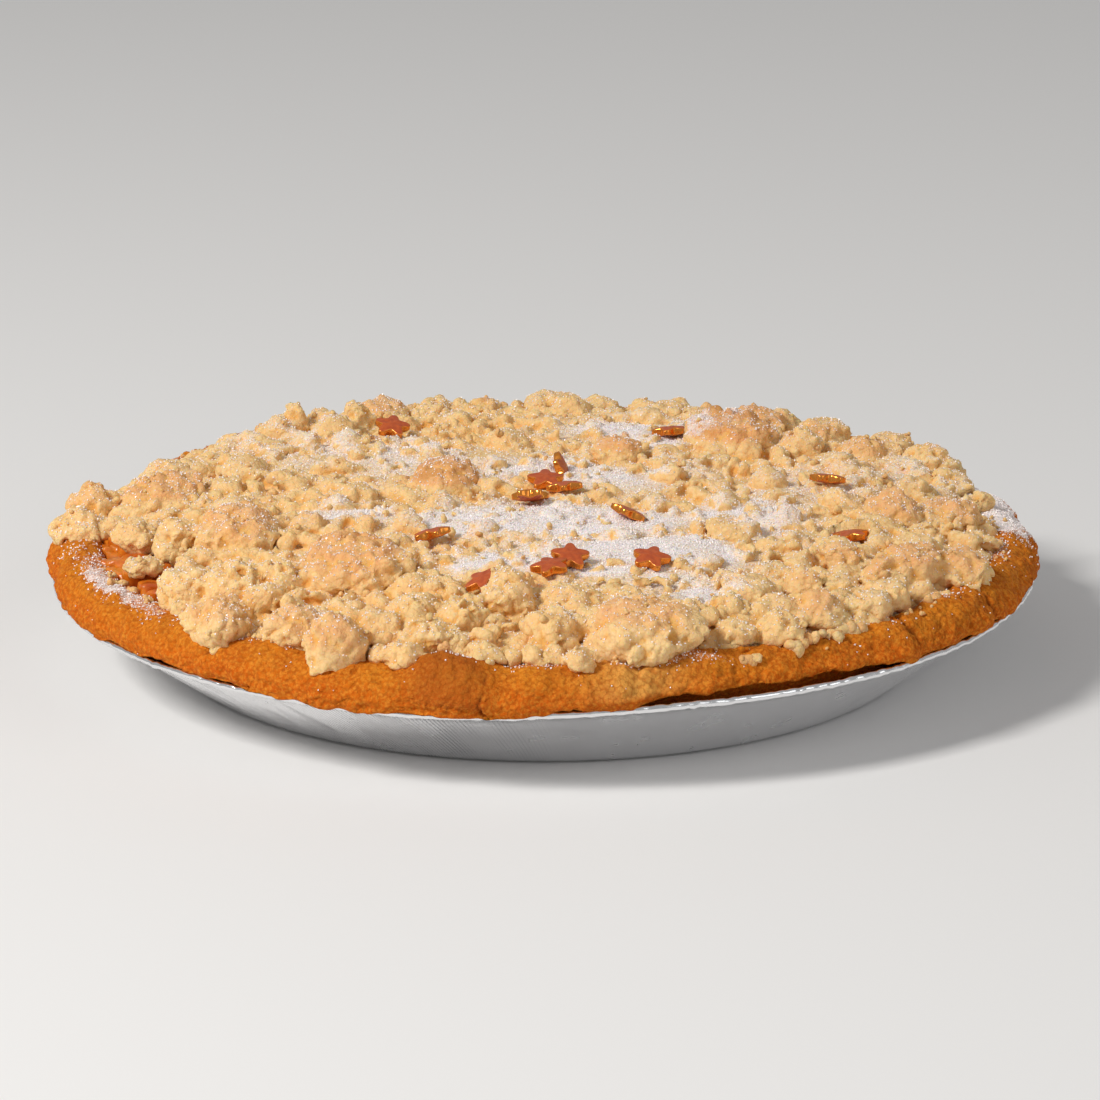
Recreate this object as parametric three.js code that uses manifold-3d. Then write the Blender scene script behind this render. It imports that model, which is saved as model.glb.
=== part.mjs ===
// An apple crumble pie in its foil tin: a shallow tin, a shortcrust shell whose rim spills over
// the tin's bead, the apple filling inside it, and a heap of crumble with star sprinkles on top.
// Millimetres, +Z up, origin under the middle of the pie. -Y is the side that faces the viewer.
import * as THREE from "three";
import { mergeVertices } from "three/addons/utils/BufferGeometryUtils.js";
import Module from "manifold-3d";

const wasm = await Module();
wasm.setup();

// Driving dimensions
const GAP = 0.3; // kept between pieces that touch
const SEGMENTS = 64; // steps round the pie, the same for all that lies on each other

const TIN_BASE_RADIUS = 81;
const TIN_RIM_RADIUS = 108;
const TIN_HEIGHT = 18.8;
const TIN_SEGMENTS = 72;
const FOIL = 0.5;
const BEAD_RADIUS = 1.1; // the rolled edge of the foil
const FOOT_BEND = 0.5; // the corner between the base and the wall

const CRUST_THICKNESS = 5;
const CRUST_INNER_RADIUS = 97; // where the rim meets the filling
const RIM_RIPPLE = 0.35;

// The tin's rim stands a little higher about this bearing, and all that lies against it
const RIM_LIFT = 1.75;
const LIFT_BEARING = 318;
const LIFT_HALF_WIDTH = [28, 58]; // full to the first, none past the second
const LIFT_HEIGHTS = [1, 24.2]; // none at the first and below, nor at the second and above

const FILLING_TOP = 25.2;
const FILLING_WAVE = 0.5;
const FILLING_RINGS = [84, 42];
const CHUNK_HEIGHT = 5;

const PLATEAU_RADIUS = 60; // the crumble is level out to here
const PLATEAU_TOP = 35;
const SHOULDER_RADIUS = 87; // then it sinks a little, and from here it falls to its foot
const SHOULDER_TOP = 32;
const FOOT_RADIUS = 101;
const FOOT_TOP = 28.4;
const CORE_SEGMENTS = 48;
const CORE_RADII = [97, 91, 84, 76, 67, 56, 43, 29, 14];
const CORE_SINK = 0.9; // how far the core lies under the mean height of the crumble
const CORE_CRAG = 1.5; // how far its points may stand apart in height
const LUMP_ROUGHNESS = 0.3;

const STAR_RADIUS = 4.3;
const STAR_WAIST = 2.5;
const STAR_THICKNESS = 2;

// Outer radius and top of the crust's rim, [bearing in degrees, radius, top], counter-clockwise from +X
const RIM = [
  [0, 108.6, 27.4], [10, 108.9, 26.8], [20, 108.8, 25.8], [32, 108.4, 26], [50, 108.8, 27.8],
  [75, 109.2, 28], [105, 109, 27.5], [130, 108.8, 28], [148, 108.2, 27.2], [157, 106.8, 25.8],
  [167, 107.8, 26.6], [180, 108.6, 27.4], [200, 108.5, 27.2], [215, 108.8, 27.4], [228, 108.5, 27.2],
  [240, 108.5, 27.2], [247, 109.4, 27.2], [253, 109.4, 27], [258, 109.6, 28.4], [266, 109, 27],
  [273, 108.8, 27], [279, 108.5, 27.6], [283, 106.9, 28.4], [287, 105.6, 29.2], [294, 104.8, 27.6],
  [303, 105, 27.4], [311, 106.8, 27.4], [315, 108.6, 27.6], [321, 108.4, 27.8], [332, 108.5, 28],
  [345, 108.6, 27.8],
];

// Lumps of crumble that stand out, [x, y, width, top]
const LUMPS = [
  // left
  [-100, 5, 12, 35.4], [-84, 8, 20, 36.5], [-88, -21, 10, 34.5], [-85, -39, 9, 31], [-79, -27, 9, 37],
  [-66, -28, 19, 39.5], [-41, 0, 9, 38], [-22, 10, 17, 39.5],
  // back left
  [-78, 36, 9, 32.8], [-70, 52, 12, 33], [-62, 64, 10, 35], [-58, 67, 6, 39.6], [-52, 72, 10, 35],
  [-44, 66, 9, 38], [-39, 79, 15, 35.6], [-26, 83, 11, 33.8], [-15, 82, 11, 35.2],
  // back and back right
  [3, 84, 17, 35.2], [27, 79, 14, 34.4], [17, 34, 11, 39], [43, 48, 21, 41], [50, 68, 14, 37],
  [59, 43, 10, 38], [64, 58, 14, 36.6], [73, 41, 11, 36.3], [79, 48, 14, 35.6], [88, 38, 14, 35.8],
  [91, 26, 11, 32.6], [97, 14, 6, 31.4],
  // right
  [76, -11, 14, 38], [88.5, -6, 15, 35.6], [95, -18, 8, 31.5], [63, -43, 10, 38], [40, -28, 13, 38],
  [77, -46, 14, 37.5], [88, -42, 14, 34.5], [70, -51, 8, 35.5], [67, -67, 11, 33.5], [54, -60, 9, 36],
  // front right
  [56, -74, 11, 35.5], [48, -82, 12, 33.5], [43, -66, 13.5, 36.5], [38, -77, 9, 36], [39, -86, 9, 33],
  [31, -81, 10, 35], [20, -90, 23, 37.5], [7, -75, 13, 36.5], [16, -73, 9, 36],
  // front and front left
  [2, -90, 13, 36], [11, -83, 8, 35], [0, -98, 9, 31.5], [7, -102, 6.5, 31], [-7, -75, 15, 40.5],
  [-12, -97, 9, 31.5], [-16, -82, 11, 37], [-23, -90, 12, 34.5], [-26, -79, 12, 36], [-28, -96, 11, 31],
  [-33, -86, 10, 35], [-42, -93, 13, 36], [-40, -56, 26, 41], [-51, -82, 13, 34], [-58, -70, 9, 35.5],
  [-55, -61, 13, 37.5], [-66, -76, 15, 33.5], [-64, -62, 14, 37], [-74, -58, 15, 35],
  [-101, -5, 13.5, 32.5],
];

// Smaller lumps between those, their width growing from the middle to the foot
const FILL_LUMPS = 80;
const FILL_WIDTH_INSIDE = 6.5;
const FILL_WIDTH_OUTSIDE = 9.5;
const GOLDEN_ANGLE = 2.39996;

// Chunks of apple that show where the crumble leaves the rim bare, [x, y, width, turn in degrees]
const CHUNKS = [[-88, -13, 9, 8], [-86, -26, 8, 17], [-80, -43, 8, 28], [-85, -34, 6, 60]];
const BARE_BEARING = 200; // of the place where they show
const BARE_HALF_WIDTH = 18;
const BARE_SHRINK = 0.1; // the share of its radius by which the core is drawn back there

// Star sprinkles, [x, y, height over the mound, heading, tilt, lean], the last three in degrees;
// tilt lifts the far side, lean the right side
const STARS = [
  [-35, 52, 0, 14, 18, -8], [29, 52, -0.7, 40, -10, 4], [4, 20, -3, 80, 8, -68], [0.4, 8, -0.2, 20, 12, 0],
  [4.6, 3, -0.2, 50, -10, 6], [-3, -7.5, 0, 18, -26, 2], [-24, -34, -0.5, 5, -10, 14],
  [18.5, -19, -0.6, 30, -12, -24], [5.6, -54.5, 0.2, 20, 20, -4], [1.4, -59, 0, 36, 6, 6],
  [22.5, -54.5, 0, 4, 16, -4], [-12.3, -66, -1, 50, 10, 20], [63, 8, 0, 20, -16, -6],
  [66, -25, -2.2, 25, -6, 6],
];

const TAU = Math.PI * 2;
const radians = (degrees) => (degrees / 360) * TAU;
const degreesOf = (bearing) => ((bearing / TAU) * 360 + 360) % 360;
const mix = (a, b, t) => a + (b - a) * t;

function smooth(low, high, x) {
  const t = Math.min(1, Math.max(0, (x - low) / (high - low)));
  return t * t * (3 - 2 * t);
}

// A repeatable random number from 0 to 1 for each whole number
function draw(n) {
  const s = Math.sin(n * 12.9898 + 4.1414) * 43758.5453;
  return s - Math.floor(s);
}

const arcBetween = (degrees, centre) => Math.abs(((degrees - centre + 540) % 360) - 180);

// How much higher the tin, and what lies against it, stands at a bearing in radians and a height
function tinLift(bearing, z) {
  const [full, none] = LIFT_HALF_WIDTH;
  const rise = RIM_LIFT * smooth(-none, -full, -arcBetween(degreesOf(bearing), LIFT_BEARING));
  const [starts, ends] = LIFT_HEIGHTS;
  const share = Math.min((z - starts) / (TIN_HEIGHT - starts), (ends - z) / (ends - TIN_HEIGHT));
  return rise * Math.max(0, share);
}

const liftedProfile = (bearing, profile) => profile.map(([r, z]) => [r, z + tinLift(bearing, z)]);

// Rim radius and top at a bearing in radians, eased between the listed ones
function rimAt(bearing) {
  const degrees = degreesOf(bearing);
  let i = RIM.length - 1;
  while (RIM[i][0] > degrees) i--;
  const [b0, r0, t0] = RIM[i];
  const [b1, r1, t1] = RIM[(i + 1) % RIM.length];
  const t = smooth(0, 1, (degrees - b0) / ((b1 || 360) - b0));
  const ripple = RIM_RIPPLE * Math.sin(bearing * 23) + RIM_RIPPLE * 0.7 * Math.sin(bearing * 31 + 2);
  return { radius: mix(r0, r1, t) + ripple, top: mix(t0, t1, t) + ripple * 0.6 };
}

// The crumble's mean height at a distance from the centre
function moundAt(radius) {
  const plateau = mix(PLATEAU_TOP, SHOULDER_TOP, smooth(PLATEAU_RADIUS, SHOULDER_RADIUS, radius));
  return mix(plateau, FOOT_TOP, smooth(SHOULDER_RADIUS, FOOT_RADIUS, radius));
}

// A manifold-3d solid from a closed geometry
function solid(geometry) {
  geometry.deleteAttribute("normal");
  geometry.deleteAttribute("uv");
  const merged = mergeVertices(geometry, 1e-4);
  return new wasm.Manifold(
    new wasm.Mesh({
      numProp: 3,
      vertProperties: new Float32Array(merged.getAttribute("position").array),
      triVerts: new Uint32Array(merged.index.array),
    }),
  );
}

// A turned solid whose profile may change with the bearing and the step. Each profile runs from
// the axis to the axis, the bottom first.
function turned(segments, profileAt) {
  const points = profileAt(0, 0).map(([r, z]) => new THREE.Vector2(r, z));
  const geometry = new THREE.LatheGeometry(points, segments);
  const position = geometry.getAttribute("position");
  for (let i = 0; i <= segments; i++) {
    const step = i % segments;
    const bearing = (step / segments) * TAU;
    profileAt(bearing, step).forEach(([r, z], j) => {
      position.setXYZ(i * points.length + j, r * Math.cos(bearing), r * Math.sin(bearing), z);
    });
  }
  return solid(geometry);
}

function largestPiece(body) {
  const pieces = body.decompose();
  return pieces.reduce((a, b) => (b.volume() > a.volume() ? b : a));
}

function meshOf(name, body, material) {
  const { vertProperties, triVerts } = body.getMesh();
  const geometry = new THREE.BufferGeometry();
  geometry.setAttribute("position", new THREE.BufferAttribute(vertProperties, 3));
  geometry.setIndex(new THREE.BufferAttribute(triVerts, 1));
  geometry.computeVertexNormals();
  const mesh = new THREE.Mesh(geometry, material);
  mesh.name = name;
  return mesh;
}

// The wall of the tin leans out in a straight line; this is its outer face at a height
const WALL_TOP = TIN_HEIGHT - BEAD_RADIUS;
const WALL_TOP_RADIUS = TIN_RIM_RADIUS - 2 * BEAD_RADIUS;
const WALL_SPREAD = Math.hypot(1, (WALL_TOP_RADIUS - TIN_BASE_RADIUS) / WALL_TOP);
const wallRadiusAt = (z) => mix(TIN_BASE_RADIUS, WALL_TOP_RADIUS, z / WALL_TOP);
const WALL_INSET = FOIL * WALL_SPREAD; // a foil's thickness measured level, across the leaning wall
const WALL_GAP = GAP * WALL_SPREAD;

function foilTin() {
  const bead = [];
  const beadCentre = TIN_RIM_RADIUS - BEAD_RADIUS;
  const beadPoints = 5;
  for (let k = 0; k < beadPoints; k++) {
    const a = mix(-0.7, 1.0, k / (beadPoints - 1)) * Math.PI;
    bead.push([beadCentre + BEAD_RADIUS * Math.cos(a), WALL_TOP + BEAD_RADIUS * Math.sin(a)]);
  }
  const innerTop = WALL_TOP - 1.5;
  const profile = [
    [0, 0],
    [TIN_BASE_RADIUS - FOOT_BEND, 0],
    [wallRadiusAt(FOOT_BEND), FOOT_BEND],
    ...bead,
    [wallRadiusAt(innerTop) - WALL_INSET, innerTop],
    [wallRadiusAt(FOIL) - WALL_INSET, FOIL],
    [0, FOIL],
  ];
  return turned(TIN_SEGMENTS, (bearing) => liftedProfile(bearing, profile));
}

// The crust's outside follows the inside of the tin, then spills over the bead
const CRUST_BOTTOM = FOIL + GAP;
const CRUST_FLOOR = CRUST_BOTTOM + CRUST_THICKNESS;
const crustWallAt = (z) => wallRadiusAt(z) - WALL_INSET - WALL_GAP;
const crustInnerAt = (z) => crustWallAt(z) - CRUST_THICKNESS;
const POCKET_RADIUS = CRUST_INNER_RADIUS - 3; // the filling's side steps in here, under the rim
const POCKET_DEPTH = 5;

// The part of the rim that shows, from its outer edge to the filling
function rimProfile(bearing) {
  const { radius, top } = rimAt(bearing);
  return liftedProfile(bearing, [
    [radius, mix(TIN_HEIGHT, top, 0.24)],
    [radius - 1, mix(TIN_HEIGHT, top, 0.55)],
    [radius - 3.2, mix(TIN_HEIGHT, top, 0.86)],
    [radius - 7, top],
    [CRUST_INNER_RADIUS, FILLING_TOP - FILLING_WAVE],
  ]);
}

function pastryCrust() {
  const under = TIN_HEIGHT + GAP;
  const insideBead = WALL_TOP_RADIUS - 2;
  return turned(SEGMENTS, (bearing) => {
    const { radius } = rimAt(bearing);
    const overhang = radius - TIN_RIM_RADIUS - GAP; // past the bead it hangs, short of it it lifts
    const edge = under - (overhang > 0 ? overhang : overhang * 0.4);
    const outside = liftedProfile(bearing, [
      [crustWallAt(CRUST_BOTTOM), CRUST_BOTTOM],
      [crustWallAt(WALL_TOP - 2), WALL_TOP - 2],
      [insideBead, under],
      [Math.min(TIN_RIM_RADIUS + GAP, radius - 0.8), Math.max(under, edge)],
      [radius - 0.3, edge],
    ]);
    return [
      [0, CRUST_BOTTOM],
      ...outside,
      ...rimProfile(bearing),
      [POCKET_RADIUS, FILLING_TOP - POCKET_DEPTH],
      [crustInnerAt(CRUST_FLOOR), CRUST_FLOOR],
      [0, CRUST_FLOOR],
    ];
  });
}

// The filling's uneven top
function fillingTop(bearing, lift) {
  const wave = (r) => FILLING_WAVE * Math.sin(bearing * 9 + r) * Math.cos(bearing * 4 - r * 0.4);
  return FILLING_RINGS.map((r) => [r, FILLING_TOP + lift + wave(r)]);
}

function appleChunk([x, y, width, turn], grow) {
  const size = [width, width * 0.7, CHUNK_HEIGHT].map((side) => side + 2 * grow);
  const block = new THREE.BoxGeometry(...size);
  block.rotateX(0.25 * Math.sin(x));
  block.rotateZ(radians(turn));
  block.translate(x, y, FILLING_TOP);
  return solid(block);
}

const withChunks = (body, grow) => CHUNKS.reduce((all, chunk) => all.add(appleChunk(chunk, grow)), body);

function appleFilling() {
  const floor = CRUST_FLOOR + GAP;
  const body = turned(SEGMENTS, (bearing) => [
    [0, floor],
    [crustInnerAt(CRUST_FLOOR) - 2 * GAP, floor],
    [POCKET_RADIUS - 2 * GAP, FILLING_TOP - POCKET_DEPTH],
    [CRUST_INNER_RADIUS - 2 * GAP, FILLING_TOP - FILLING_WAVE],
    ...fillingTop(bearing, 0),
    [0, FILLING_TOP],
  ]);
  return withChunks(body, 0);
}

// All that the crumble rests on, with the gap added, as one cutter that reaches far outside
function bed() {
  const far = TIN_RIM_RADIUS + 30;
  const body = turned(SEGMENTS, (bearing) => {
    const rim = rimProfile(bearing).map(([r, z]) => [r, z + 2 * GAP]);
    return [
      [0, -1],
      [far, -1],
      [far, rim[0][1]],
      ...rim,
      ...fillingTop(bearing, 2 * GAP),
      [0, FILLING_TOP + 2 * GAP],
    ];
  });
  return withChunks(body, GAP);
}

// A craggy lump: a ball of few sides, its points pushed in and out at random
function lump(seed, form, { x, y, z, width, height }) {
  form.deleteAttribute("normal");
  form.deleteAttribute("uv");
  const ball = mergeVertices(form, 1e-4);
  const position = ball.getAttribute("position");
  const point = new THREE.Vector3();
  for (let i = 0; i < position.count; i++) {
    point.fromBufferAttribute(position, i);
    point.multiplyScalar(1 + LUMP_ROUGHNESS * (draw(seed * 97 + i) - 0.5));
    position.setXYZ(i, point.x, point.y, point.z);
  }
  ball.scale(width / 2, width / 2, height / 2);
  ball.rotateZ(draw(seed * 13) * TAU);
  ball.translate(x, y, z);
  return solid(ball);
}

// Each lump has its middle on the mound and rises to its own top
function lumpAt(x, y, width, top) {
  const z = moundAt(Math.hypot(x, y)) - CORE_SINK;
  return { x, y, z, width, height: 2 * (top - z) };
}

// The smaller lumps follow an even spiral, and leave out what is covered, the apple and the stars
function fillLumps(named) {
  const list = [];
  for (let i = 0; i < FILL_LUMPS; i++) {
    const radius = (FOOT_RADIUS - 3) * Math.sqrt((i + 0.5) / FILL_LUMPS);
    const bearing = i * GOLDEN_ANGLE + 0.2 * draw(i);
    const x = radius * Math.cos(bearing);
    const y = radius * Math.sin(bearing);
    const size = mix(FILL_WIDTH_INSIDE, FILL_WIDTH_OUTSIDE, smooth(50, 85, radius));
    const width = size * mix(0.8, 1.3, draw(i + 500));
    const near = (places, reach) => places.some(([px, py]) => Math.hypot(px - x, py - y) < reach);
    const covered = named.some((l) => Math.hypot(l.x - x, l.y - y) < l.width * 0.5 + width * 0.1);
    if (covered || near(CHUNKS, 10) || near(STARS, STAR_RADIUS + width * 0.4)) continue;
    list.push(lumpAt(x, y, width, moundAt(radius) + width * mix(0.2, 0.4, draw(i + 900))));
  }
  return list;
}

// The uneven core under the lumps, drawn back where the apple shows
function core() {
  return turned(CORE_SEGMENTS, (bearing, step) => {
    const away = arcBetween(degreesOf(bearing), BARE_BEARING);
    const shrink = 1 - BARE_SHRINK * (1 - smooth(BARE_HALF_WIDTH * 0.5, BARE_HALF_WIDTH, away));
    const top = CORE_RADII.map((r, j) => {
      const crag = CORE_CRAG * (draw(j * 211 + step) - 0.5) * smooth(0, 60, r + 20);
      return [r * shrink, moundAt(r) - CORE_SINK + crag];
    });
    const foot = FILLING_TOP - 4;
    return [[0, foot], [(FOOT_RADIUS - 2) * shrink, foot], ...top, [0, PLATEAU_TOP - CORE_SINK]];
  });
}

function starOutline() {
  const points = [];
  for (let k = 0; k < 10; k++) {
    const radius = k % 2 ? STAR_WAIST : STAR_RADIUS;
    const a = (k / 10) * TAU;
    points.push(new THREE.Vector2(radius * Math.sin(a), radius * Math.cos(a)));
  }
  return new THREE.Shape(points);
}

// A star lies on the crumble with its lowest side sunk into it
function star([x, y, over, heading, tilt, lean]) {
  const form = new THREE.ExtrudeGeometry(starOutline(), { depth: STAR_THICKNESS, bevelEnabled: false });
  form.translate(0, 0, -STAR_THICKNESS / 2);
  form.rotateZ(radians(heading));
  form.rotateX(radians(tilt));
  form.rotateY(radians(-lean));
  const steepest = radians(Math.max(Math.abs(tilt), Math.abs(lean)));
  const raise = STAR_WAIST * Math.sin(steepest) + over;
  form.translate(x, y, moundAt(Math.hypot(x, y)) + raise);
  return solid(form);
}

function ballFor(width) {
  if (width >= 14) return new THREE.IcosahedronGeometry(1, 1);
  if (width >= 11) return new THREE.DodecahedronGeometry(1, 0);
  return new THREE.IcosahedronGeometry(1, 0);
}

function crumbleTopping() {
  const named = LUMPS.map((row) => lumpAt(...row));
  const lumps = [...named, ...fillLumps(named)];
  let body = core();
  lumps.forEach((l, i) => {
    body = body.add(lump(i + 1, ballFor(l.width), l));
  });
  STARS.forEach((row) => {
    body = body.add(star(row));
  });
  return largestPiece(body.subtract(bed()));
}

const foil = new THREE.MeshStandardMaterial({ color: 0xc9cbce, roughness: 0.32, metalness: 1 });
const pastry = new THREE.MeshStandardMaterial({ color: 0xc88240, roughness: 0.85, metalness: 0 });
const apple = new THREE.MeshStandardMaterial({ color: 0xb5601c, roughness: 0.3, metalness: 0 });
const crumbs = new THREE.MeshStandardMaterial({ color: 0xe6c183, roughness: 0.9, metalness: 0 });

const pie = new THREE.Group();
pie.name = "apple_crumble";
pie.add(meshOf("foil_tin", foilTin(), foil));
pie.add(meshOf("pastry_crust", pastryCrust(), pastry));
pie.add(meshOf("apple_filling", appleFilling(), apple));
pie.add(meshOf("crumble_topping", crumbleTopping(), crumbs));

// The overhanging rim is uneven, so the pie is set over the origin by its own box
const box = new THREE.Box3().setFromObject(pie);
pie.position.set(-(box.min.x + box.max.x) / 2, -(box.min.y + box.max.y) / 2, -box.min.z);

export default pie;
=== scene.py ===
"""An apple crumble pie in its foil tin, dressed over its solids.

Sizes and places are in millimetres in the pie's own frame (+Z up, origin under the middle of the
tin, -Y towards the viewer), and become metres where a mesh is made.
"""

import itertools
import math

import bmesh
import bpy
import numpy as np
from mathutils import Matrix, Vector


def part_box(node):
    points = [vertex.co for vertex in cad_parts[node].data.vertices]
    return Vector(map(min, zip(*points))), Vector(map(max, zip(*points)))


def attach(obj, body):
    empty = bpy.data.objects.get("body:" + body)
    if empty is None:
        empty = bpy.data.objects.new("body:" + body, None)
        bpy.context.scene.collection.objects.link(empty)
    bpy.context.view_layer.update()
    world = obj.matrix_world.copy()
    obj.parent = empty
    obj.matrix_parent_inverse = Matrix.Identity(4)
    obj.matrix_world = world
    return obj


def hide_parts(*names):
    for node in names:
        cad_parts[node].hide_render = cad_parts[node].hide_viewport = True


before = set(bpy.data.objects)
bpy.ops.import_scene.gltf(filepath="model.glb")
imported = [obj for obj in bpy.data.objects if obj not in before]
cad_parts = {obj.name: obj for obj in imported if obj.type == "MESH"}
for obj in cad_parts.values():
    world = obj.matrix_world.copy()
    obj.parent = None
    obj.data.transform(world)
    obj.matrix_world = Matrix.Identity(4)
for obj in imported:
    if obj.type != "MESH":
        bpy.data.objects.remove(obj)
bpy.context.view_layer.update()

MM = 0.001
TAU = 2 * math.pi

# The solids' sizes, repeated from the part
TIN_BASE_RADIUS = 81
TIN_RIM_RADIUS = 108
TIN_HEIGHT = 18.8
BEAD_RADIUS = 1.1
CRUST_THICKNESS = 5
CRUST_INNER_RADIUS = 97
FILLING_TOP = 25.2
PLATEAU_RADIUS = 60
PLATEAU_TOP = 35
SHOULDER_RADIUS = 87
SHOULDER_TOP = 32
FOOT_RADIUS = 101
FOOT_TOP = 28.4
CORE_SINK = 0.9
STAR_RADIUS = 4.3
STAR_WAIST = 2.5
STAR_THICKNESS = 2

# The tin's rim stands a little higher about this bearing, and all that lies against it
RIM_LIFT = 1.75
LIFT_BEARING = 318
LIFT_HALF_WIDTH = (28, 58)  # full to the first, none past the second
LIFT_HEIGHTS = (1, 24.2)  # none at the first and below, nor at the second and above

# Outer radius and top of the crust's rim, [bearing in degrees, radius, top]
RIM = [
    (0, 108.6, 27.4), (10, 108.9, 26.8), (20, 108.8, 25.8), (32, 108.4, 26), (50, 108.8, 27.8),
    (75, 109.2, 28), (105, 109, 27.5), (130, 108.8, 28), (148, 108.2, 27.2), (157, 106.8, 25.8),
    (167, 107.8, 26.6), (180, 108.6, 27.4), (200, 108.5, 27.2), (215, 108.8, 27.4), (228, 108.5, 27.2),
    (240, 108.5, 27.2), (247, 109.4, 27.2), (253, 109.4, 27), (258, 109.6, 28.4), (266, 109, 27),
    (273, 108.8, 27), (279, 108.5, 27.6), (283, 106.9, 28.4), (287, 105.6, 29.2), (294, 104.8, 27.6),
    (303, 105, 27.4), (311, 106.8, 27.4), (315, 108.6, 27.6), (321, 108.4, 27.8), (332, 108.5, 28),
    (345, 108.6, 27.8),
]

# Lumps of crumble that stand out, [x, y, width, top]
LUMPS = [
    # left
    (-100, 5, 12, 35.4), (-84, 8, 20, 36.5), (-88, -21, 10, 34.5), (-85, -39, 9, 31), (-79, -27, 9, 37),
    (-66, -28, 19, 39.5), (-41, 0, 9, 38), (-22, 10, 17, 39.5),
    # back left
    (-78, 36, 9, 32.8), (-70, 52, 12, 33), (-62, 64, 10, 35), (-58, 67, 6, 39.6), (-52, 72, 10, 35),
    (-44, 66, 9, 38), (-39, 79, 15, 35.6), (-26, 83, 11, 33.8), (-15, 82, 11, 35.2),
    # back and back right
    (3, 84, 17, 35.2), (27, 79, 14, 34.4), (17, 34, 11, 39), (43, 48, 21, 41), (50, 68, 14, 37),
    (59, 43, 10, 38), (64, 58, 14, 36.6), (73, 41, 11, 36.3), (79, 48, 14, 35.6), (88, 38, 14, 35.8),
    (91, 26, 11, 32.6), (97, 14, 6, 31.4),
    # right
    (76, -11, 14, 38), (88.5, -6, 15, 35.6), (95, -18, 8, 31.5), (63, -43, 10, 38), (40, -28, 13, 38),
    (77, -46, 14, 37.5), (88, -42, 14, 34.5), (70, -51, 8, 35.5), (67, -67, 11, 33.5), (54, -60, 9, 36),
    # front right
    (56, -74, 11, 35.5), (48, -82, 12, 33.5), (43, -66, 13.5, 36.5), (38, -77, 9, 36), (39, -86, 9, 33),
    (31, -81, 10, 35), (20, -90, 23, 37.5), (7, -75, 13, 36.5), (16, -73, 9, 36),
    # front and front left
    (2, -90, 13, 36), (11, -83, 8, 35), (0, -98, 9, 31.5), (7, -102, 6.5, 31), (-7, -75, 15, 40.5),
    (-12, -97, 9, 31.5), (-16, -82, 11, 37), (-23, -90, 12, 34.5), (-26, -79, 12, 36), (-28, -96, 11, 31),
    (-33, -86, 10, 35), (-42, -93, 13, 36), (-40, -56, 26, 41), (-51, -82, 13, 34), (-58, -70, 9, 35.5),
    (-55, -61, 13, 37.5), (-66, -76, 15, 33.5), (-64, -62, 14, 37), (-74, -58, 15, 35),
    (-101, -5, 13.5, 32.5),
]
# Small crumbs that have rolled onto the rim, [x, y, width]
SPILLED = [
    (31, -90, 3), (33.5, -91, 2.4), (40.5, -93, 3.2), (42.5, -92, 3), (50.5, -87, 3.4), (53, -86, 3),
    (55, -84, 3.4), (57, -82, 3), (59.5, -79.5, 3), (60.5, -80, 3.2), (63, -77.5, 3), (65.5, -74, 2.6),
    (66, -75.5, 2.8), (-61, -80, 2.6), (-31, -96, 2.6), (-44, -90, 2.4), (-20, -98, 2.4), (14, -98, 2.2),
    (-87, -47, 3), (-83, -54, 2.4), (-90, -41, 2.6), (-98, -12, 2.4), (82, -56, 3), (88, -46, 2.6),
]
# Smaller lumps fill the gaps between the listed ones
FILL_LUMPS = 80
FILL_WIDTH_INSIDE = 6.5
FILL_WIDTH_OUTSIDE = 9.5
GOLDEN_ANGLE = 2.39996
# Apple that shows where the crumble leaves the rim bare, [x, y, width]
CHUNKS = [(-88, -13, 9), (-86, -26, 8), (-80, -43, 8), (-85, -34, 6)]
CHUNK_HEIGHT = 5
BARE_BEARING = 200
BARE_HALF_WIDTH = 14

# Star sprinkles, [x, y, height over the mound, heading, tilt, lean], the last three in degrees
STARS = [
    (-35, 52, 0, 14, 18, -8), (29, 52, -0.7, 40, -10, 4), (4, 20, -3, 80, 8, -68), (0.4, 8, -0.2, 20, 12, 0),
    (4.6, 3, -0.2, 50, -10, 6), (-3, -7.5, 0, 18, -26, 2), (-24, -34, -0.5, 5, -10, 14),
    (18.5, -19, -0.6, 30, -12, -24), (5.6, -54.5, 0.2, 20, 20, -4), (1.4, -59, 0, 36, 6, 6),
    (22.5, -54.5, 0, 4, 16, -4), (-12.3, -66, -1, 50, 10, 20), (63, 8, 0, 20, -16, -6),
    (66, -25, -2.2, 25, -6, 6),
]

tin_low, tin_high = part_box("foil_tin")
PIE_CENTRE = (tin_low + tin_high) / 2


# --- Numbers ---

def mix(a, b, t):
    return a + (b - a) * t


def smooth(low, high, x):
    t = np.clip((x - low) / (high - low), 0, 1)
    return t * t * (3 - 2 * t)


def draw(n):
    """The part's repeatable random number from 0 to 1 for each whole number."""
    s = math.sin(n * 12.9898 + 4.1414) * 43758.5453
    return s - math.floor(s)


def hashed(cell, seed):
    """A random number from 0 to 1 for each whole-numbered place."""
    n = cell.astype(np.uint64)
    h = n[:, 0] * np.uint64(374761393) + n[:, 1] * np.uint64(668265263) + n[:, 2] * np.uint64(2246822519)
    h = (h + np.uint64(seed * 3266489917 + 97)) & np.uint64(0xFFFFFFFF)
    h = ((h ^ (h >> np.uint64(15))) * np.uint64(2246822519)) & np.uint64(0xFFFFFFFF)
    h = ((h ^ (h >> np.uint64(13))) * np.uint64(3266489917)) & np.uint64(0xFFFFFFFF)
    return ((h ^ (h >> np.uint64(16))) & np.uint64(0xFFFFFF)).astype(float) / 0x1000000


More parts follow.
